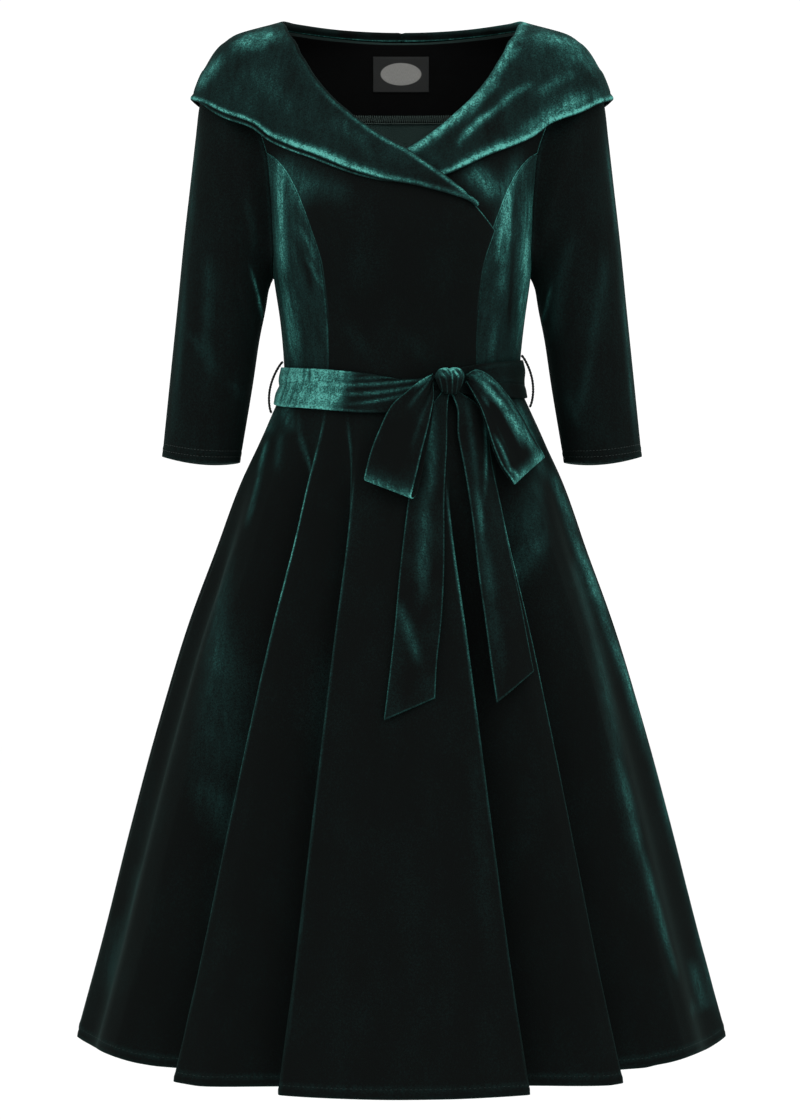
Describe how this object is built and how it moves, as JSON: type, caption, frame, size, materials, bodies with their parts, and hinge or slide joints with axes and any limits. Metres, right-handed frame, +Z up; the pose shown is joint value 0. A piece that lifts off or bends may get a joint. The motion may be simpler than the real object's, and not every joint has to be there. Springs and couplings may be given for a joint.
{
  "type": "swing dress",
  "caption": "Swing dress, hollow as worn, with a wide fold-over collar, wrapped front, cropped sleeves, a flared skirt in deep folds and a belt tied in a bow.",
  "frame": {"origin": "the middle of the neck opening, at the height of its shoulder edges", "axes": "+Z up, -Y to the front of the dress, -X to the side whose front and collar lie on top (the viewer's left)"},
  "size_m": [0.6642, 0.5704, 1.0512],
  "materials": {
    "velvet": "dark green velvet, nap with a soft sheen",
    "velvet_collar": "dark green velvet, nap lit from above",
    "velvet_belt": "dark green velvet, crushed, streaky sheen",
    "black_facing": "matte black woven cloth",
    "woven_label": "matt woven satin"
  },
  "bodies": {
    "root": {"back_neck_facing": "black_facing", "back_neck_label": "woven_label", "belt_band": "velvet_belt", "belt_carrier_left": "velvet_belt", "belt_carrier_right": "velvet_belt", "belt_knot": "velvet_belt", "belt_tail_left": "velvet_belt", "belt_tail_right": "velvet_belt", "bodice_back": "velvet", "bodice_front_over": "velvet", "bodice_front_under": "velvet", "bodice_side_front_left": "velvet", "bodice_side_front_right": "velvet", "bow_loop_left": "velvet_belt", "bow_loop_right": "velvet_belt", "collar_left": "velvet_collar", "collar_right": "velvet_collar", "skirt_back": "velvet", "skirt_front": "velvet", "sleeve_left": "velvet", "sleeve_right": "velvet"}
  },
  "joints": []
}
